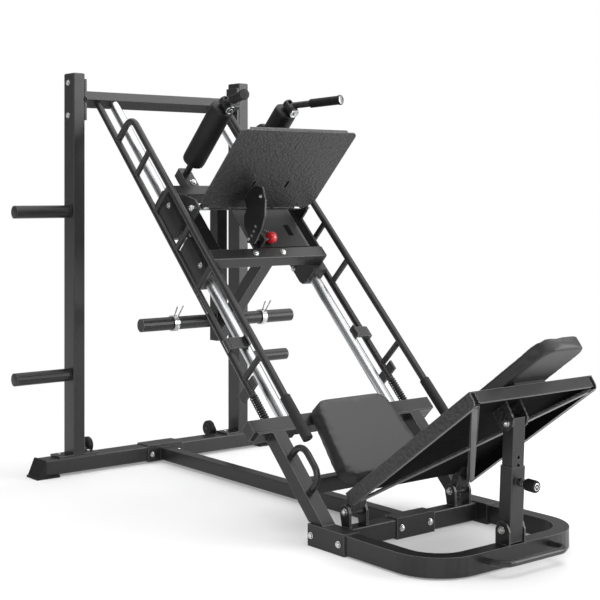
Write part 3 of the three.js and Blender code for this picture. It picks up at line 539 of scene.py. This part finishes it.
def carriage_hardware():
    """The carriage's bolts, near-black sheets of painted shade in its recesses, its panel coat, and the
    ends of its rollers.
    """
    places = [(rail(k * 63, 937, 100), OUT, 10.5, 7) for k in (-1, 1)]
    for side in (-1, 1):
        places += [(rail(side * 275, 630, 39), X * side), (rail(side * 275, 929, 36), X * side)]
        places += [(rail(side * 209, 920, 20), -X * side), (rail(side * 209, 903, -38), -X * side)]
        places += [(rail(side * (ROLLER["x"] - 4), 546, 78), OUT, 11, 8)]
    hardware("carriage_bolts", "carriage", places)
    bm = bmesh.new()
    # painted shade: near-black sheets in the side channels, standing in for the shade inside them
    for side in (-1, 1):
        slab(bm, rail, ((side * 206, side * 252), (716, 911), (93.6, 95.0)))
    # painted shade: a near-black sheet standing in for the shade in the panel's slot
    slab(bm, rail, ((139, 163), (797, 852), (98.4, 99.3)))
    # painted shade: a thin near-black strip along the panel's lower edge
    slab(bm, rail, ((-58, 205), (910.5, 913.8), (97.5, 100.2)))
    piece("carriage_recess_shade", bm, "carriage", "nylon", "painted_shade", 0.4)
    bm = bmesh.new()
    slab(bm, rail, ((-56, 197), (692, 910), (97.6, 98.7)))
    piece("carriage_panel_skin", bm, "carriage", "plate", "panel", 0.4)
    bm = bmesh.new()
    for side in (-1, 1):
        base = rail(side * ROLLER["x"], 538, ROLLER["clamp"])
        turned(bm, base, DOWN, [(0, 0), (0, 18), (1.5, 19), (3, 18), (3.2, 14), (2.4, 13), (2.4, 9),
                                (5, 8), (6, 6), (6, 0)])
    piece("roller_end_caps", bm, "carriage", "chrome")
    bands = bmesh.new()
    for side in (-1, 1):
        base = rail(side * ROLLER["x"], 518, ROLLER["clamp"])
        turned(bands, base, DOWN, [(0, 0), (0, 19.4), (1, 20.2), (11, 20.2), (12, 19.4), (12, 0)])
    piece("roller_end_bands", bands, "carriage", "rubber")


def grips():
    """Ribbed sleeves with a flared end, and the bright caps on the handles."""
    for name, side in SIDES.items():
        start = at(side * 149, -641, 1441)
        end = at(side * 223, -859, 1456)
        axis = (end - start).normalized()
        reach = (end - start).length / MM
        first = reach * 0.42
        shape = [(first, 0), (first, 15), (first + 2, 17)]
        along = first + 6
        while along < reach - 18:
            shape += [(along, 17), (along + 1.2, 16), (along + 2.4, 16), (along + 3.6, 17)]
            along += 6
        shape += [(reach - 14, 17), (reach - 6, 19), (reach, 19), (reach, 0)]
        bm = bmesh.new()
        turned(bm, start, axis, shape)
        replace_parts(piece(f"handle_sleeve_{name}", bm, "carriage", "rubber"), f"handle_grip_{name}")
        cap = bmesh.new()
        turned(cap, start, axis, [(reach - 0.2, 0), (reach - 0.2, 17.5), (reach + 2, 17),
                                  (reach + 3, 13), (reach + 3.4, 6), (reach + 3.4, 0)])
        piece(f"handle_cap_{name}", cap, "carriage", "chrome", "nylon" if side < 0 else "chrome")
        low, high = 1600, 1770
        shape = [(0, 0), (0, 16.5), (2, 18)]
        along = 8
        while along < high - low - 20:
            shape += [(along, 18), (along + 1.2, 17.2), (along + 3, 17.2), (along + 4.2, 18)]
            along += 8
        shape += [(high - low - 12, 18), (high - low - 5, 18.2), (high - low - 1, 17.4),
                  (high - low, 15), (high - low, 0)]
        sleeve = bmesh.new()
        turned(sleeve, rail(side * LADDER_X, low, 137), DOWN, shape)
        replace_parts(piece(f"ladder_sleeve_{name}", sleeve, f"ladder_{name}", "foam"),
                    f"ladder_grip_{name}")


def springs():
    """The coils that pull the ladders back, wound on their pivots."""
    for name, side in SIDES.items():
        base = rail(side * LADDER_X, 1494, 0)
        length, radius, wire, turns, steps_a_turn = 108, 12.6, 2.6, 11, 24
        curve = bpy.data.curves.new(f"spring_coil_{name}", "CURVE")
        curve.dimensions = "3D"
        curve.bevel_depth = wire * MM
        curve.bevel_resolution = 4
        curve.use_fill_caps = True
        spline = curve.splines.new("POLY")
        steps = turns * steps_a_turn
        spline.points.add(steps)
        for k in range(steps + 1):
            a = 2 * math.pi * turns * k / steps
            spot = base + MM * (DOWN * length * k / steps + X * radius * math.cos(a)
                                + OUT * radius * math.sin(a))
            spline.points[k].co = (*spot, 1)
        obj = bpy.data.objects.new(f"spring_coil_{name}", curve)
        bpy.context.scene.collection.objects.link(obj)
        curve.materials.append(FINISHES["spring"])
        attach(obj, "frame")
        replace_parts(obj, f"return_spring_{name}")


def board_hardware():
    """Fasteners of the board's pivot and the sector plate, painted shade behind the foot plate's slots,
    and the foot plate's shaft sleeve.
    """
    post = [(at(k * 34, POST_TOP["y"], POST_TOP["z"]), X * k) for k in (-1, 1)]
    hardware("board_pivot_nuts", "board", post, nut)
    sector = [(rail(-80, 825, 284), -X, 7, 5), (rail(-80, 886, 122), -X, 6, 4)]
    sector += [(rail(side * 271, 738, 136), X * side, 10, 7) for side in (-1, 1)]
    hardware("sector_bolts", "foot_plate", sector)
    # painted shade: near-black sheets behind the two slots in the foot plate, standing in for the shade
    # inside them
    bm = bmesh.new()
    for side in (-1, 1):
        slab(bm, rail, ((side * 56, side * 94), (752, 755.8), (252, 302)))
    piece("slot_shade", bm, "foot_plate", "plate", "painted_shade", 0.5)
    sleeve = bmesh.new()
    for side in (-1, 1):
        turned(sleeve, rail(side * 200, 738, 136), X * side, [(0, 0), (0, 9.3), (70.8, 9.3), (70.8, 0)])
    piece("pivot_sleeve", sleeve, "foot_plate", "chrome")


def board_shade_and_struts():
    """The board's underside, side lips and corner gaps as near-black sheets of painted shade, standing
    in for the shadow under the tray; its smooth end; and its crossed struts in a lighter grey, a
    painted reflection of the floor.
    """
    half, near, far = 262, 38, 684  # the board's hollow: half its width, and its two ends
    # painted shade: near-black sheets under the board, along its side lips and in its corner gaps
    bm = bmesh.new()
    slab(bm, on_board, ((-half, half), (near, far), (43.0, 43.8)))
    for side in (-1, 1):
        slab(bm, on_board, ((side * 253, side * 263.6), (far, 689.5), (12, 43.5)))
        slab(bm, on_board, ((side * (half + 1), side * 263.8), (near, far), (8, 43)))
    piece("board_underside_shade", bm, "board", "plate", "painted_shade")
    end = bmesh.new()
    slab(end, on_board, ((-250, 250), (689.9, 690.8), (10, 47.5)))
    piece("board_end_skin", end, "board", "plate", "powder", 0.3)
    # painted reflection: the struts get a lighter grey than the black paint, standing in for the floor
    # light they reflect
    struts = bmesh.new()
    run, across = 610, 504
    lean = math.atan2(across, run)
    length = math.hypot(run, across) / 2 - 6  # half of a strut, short of the corners
    for k in (-1, 1):
        def on_strut(a, b, w, k=k):
            return on_board(a * math.cos(lean) + k * b * math.sin(lean),
                            362.5 + b * math.cos(lean) - k * a * math.sin(lean), w)

        slab(struts, on_strut, ((-9, 9), (-length, length), (3.4 + k * 0.2, 5.8)))
    for side in (-1, 1):
        slab(struts, on_board, ((side * 252, side * 262), (near, far), (3.2, 5.2)))
    piece("board_struts", struts, "board", "powder", "strut", 1.8)


def release_handle():
    """The red pull knob and the bent wire that it hangs on."""
    bm = bmesh.new()
    turned(bm, rail(8, 882, 122), X, [(0, 0), (0, 8), (3, 12), (5, 19), (10, 22), (22, 22.5), (30, 20),
                                      (33, 16), (33, 13.5), (31.5, 12), (31.5, 0)], 36)
    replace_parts(piece("pull_knob", bm, "release_pin", "red"), "release_knob")
    wire = bmesh.new()
    start, end = rail(4, 846, 128), rail(20, 872, 134)
    reach = (end - start).length / MM
    turned(wire, start, (end - start).normalized(), [(0, 0), (0, 2.6), (reach, 2.6), (reach, 0)], 12)
    piece("pull_wire", wire, "release_pin", "chrome", "zinc")


def post_knob():
    """The pop pin on the post: a threaded bush, its locknut and a fluted knob."""
    low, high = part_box("post_pin")
    lean = math.atan2(-1903 - POST_TOP["y"], POST_TOP["z"] - 106)
    axis = Vector((0, -math.cos(lean), -math.sin(lean)))
    base = Vector((0, high.y, (low.z + high.z) / 2 + 1.5 * MM))
    reach = (high.y - low.y) / MM / math.cos(lean)
    bush = bmesh.new()
    turned(bush, base, axis, [(0, 0), (0, 5.5), (12, 5.5), (12, 0)], 20)
    turned(bush, base, axis, [(6, 0), (6, 11), (7, 12), (13, 12), (14, 11), (14, 0)], 6)
    turned(bush, base, axis, [(14, 0), (14, 8.5), (reach - 44, 8.5), (reach - 44, 0)], 24)
    turned(bush, base, axis, [(reach - 2, 0), (reach - 2, 4), (reach, 3.4), (reach, 0)], 24)
    turned(bush, base, axis, [(reach - 2, 8), (reach - 2, 11), (reach - 0.2, 11), (reach, 10.4),
                              (reach, 8), (reach - 2, 8)], 32)
    bmesh.ops.remove_doubles(bush, verts=bush.verts[:], dist=1e-6)
    piece("pop_pin_bush", bush, "post_pin", "chrome", "zinc")
    knob = bmesh.new()
    turned(knob, base, axis, [(reach - 46, 0), (reach - 46, 12), (reach - 42, 15), (reach - 38, 18.5),
                              (reach - 6, 18.8), (reach - 2, 17), (reach - 1, 14), (reach - 1, 0)], 72)
    for vertex in knob.verts:
        off = vertex.co - base
        along = off.dot(axis)
        radial = off - axis * along
        if radial.length > 15.5 * MM and along < (reach - 4) * MM:
            angle = math.atan2(radial.x, radial.dot(axis.cross(X)))
            vertex.co -= radial * 0.09 * (0.5 + 0.5 * math.cos(18 * angle))
    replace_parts(piece("pop_pin_knob", knob, "post_pin", "rubber"), "post_pin")


# ---------------------------------------------------------------- stage, light and camera
def floor_paint_and_glow():
    """Pale paint mixed with a white glow: a quarter glow by the machine, turning into the full white
    glow of the backdrop away from it.
    """
    paint = finish("studio_floor", (0.93, 0.93, 0.93), 0.7, mottle=0.01, patch=1, grain=60, depth=0.01)
    tree = paint.node_tree
    # the floor glows though it is no lamp: painted light, at a quarter strength by the machine
    glow = tree.nodes.new("ShaderNodeEmission")
    where = tree.nodes.new("ShaderNodeTexCoord")
    far = tree.nodes.new("ShaderNodeVectorMath")
    far.operation = "LENGTH"
    fade = tree.nodes.new("ShaderNodeMapRange")
    fade.interpolation_type = "SMOOTHSTEP"
    fade.inputs["From Min"].default_value = 1.0
    fade.inputs["From Max"].default_value = 3.2
    fade.inputs["To Min"].default_value = 0.25
    mix = tree.nodes.new("ShaderNodeMixShader")
    tree.links.new(where.outputs["Object"], far.inputs[0])
    tree.links.new(far.outputs["Value"], fade.inputs["Value"])
    tree.links.new(fade.outputs["Result"], mix.inputs["Fac"])
    tree.links.new(tree.nodes["Principled BSDF"].outputs[0], mix.inputs[1])
    tree.links.new(glow.outputs[0], mix.inputs[2])
    tree.links.new(mix.outputs[0], tree.nodes["Material Output"].inputs["Surface"])
    return paint


def stage():
    """A pale floor, a white surround and the area lamps."""
    bm = bmesh.new()
    bmesh.ops.create_grid(bm, x_segments=8, y_segments=8, size=14)
    mesh = bpy.data.meshes.new("floor")
    bm.to_mesh(mesh)
    bm.free()
    floor = bpy.data.objects.new("floor", mesh)
    bpy.context.scene.collection.objects.link(floor)
    mesh.materials.append(floor_paint_and_glow())
    world = bpy.data.worlds.new("studio")
    bpy.context.scene.world = world
    world.use_nodes = True
    tree = world.node_tree
    seen = tree.nodes["Background"]
    seen.inputs["Color"].default_value = (1, 1, 1, 1)
    fill = tree.nodes.new("ShaderNodeBackground")
    fill.inputs["Color"].default_value = (1, 1, 1, 1)
    fill.inputs["Strength"].default_value = 0.35
    path = tree.nodes.new("ShaderNodeLightPath")
    mix = tree.nodes.new("ShaderNodeMixShader")
    tree.links.new(path.outputs["Is Camera Ray"], mix.inputs["Fac"])
    tree.links.new(fill.outputs[0], mix.inputs[1])
    tree.links.new(seen.outputs[0], mix.inputs[2])
    tree.links.new(mix.outputs[0], tree.nodes["World Output"].inputs["Surface"])
    for name, place, target, size, power in (
        ("key", (4.6, -5.4, 2.0), (0, -0.4, 0.7), 4.2, 400),
        ("top", (0.8, -0.3, 5.0), (0, -0.2, 0), 8.0, 430),
        ("fill", (-4.5, -5.0, 1.2), (0, -0.6, 0.5), 2.5, 110),
    ):
        lamp = bpy.data.lights.new(name, "AREA")
        lamp.size = size
        lamp.energy = power
        obj = bpy.data.objects.new(name, lamp)
        obj.location = place
        obj.rotation_euler = (Vector(target) - Vector(place)).to_track_quat("-Z", "Y").to_euler()
        bpy.context.scene.collection.objects.link(obj)
    bpy.context.scene.view_settings.view_transform = "Standard"


def camera():
    """The photograph's viewpoint, solved from its vanishing lines."""
    lens = bpy.data.cameras.new("camera")
    lens.lens = 78.0
    lens.sensor_width = 36.0
    lens.shift_y = -0.1802
    lens.clip_end = 60  # metres
    obj = bpy.data.objects.new("camera", lens)
    obj.location = (-2.9185, -3.5610, 1.1131)
    obj.rotation_euler = (math.radians(90), 0, math.radians(-38.60))
    bpy.context.scene.collection.objects.link(obj)
    bpy.context.scene.camera = obj


camera()
stage()
dress_nodes()
make_pads()
frame_hardware()
carriage_hardware()
board_hardware()
board_shade_and_struts()
release_handle()
post_knob()
grips()
springs()
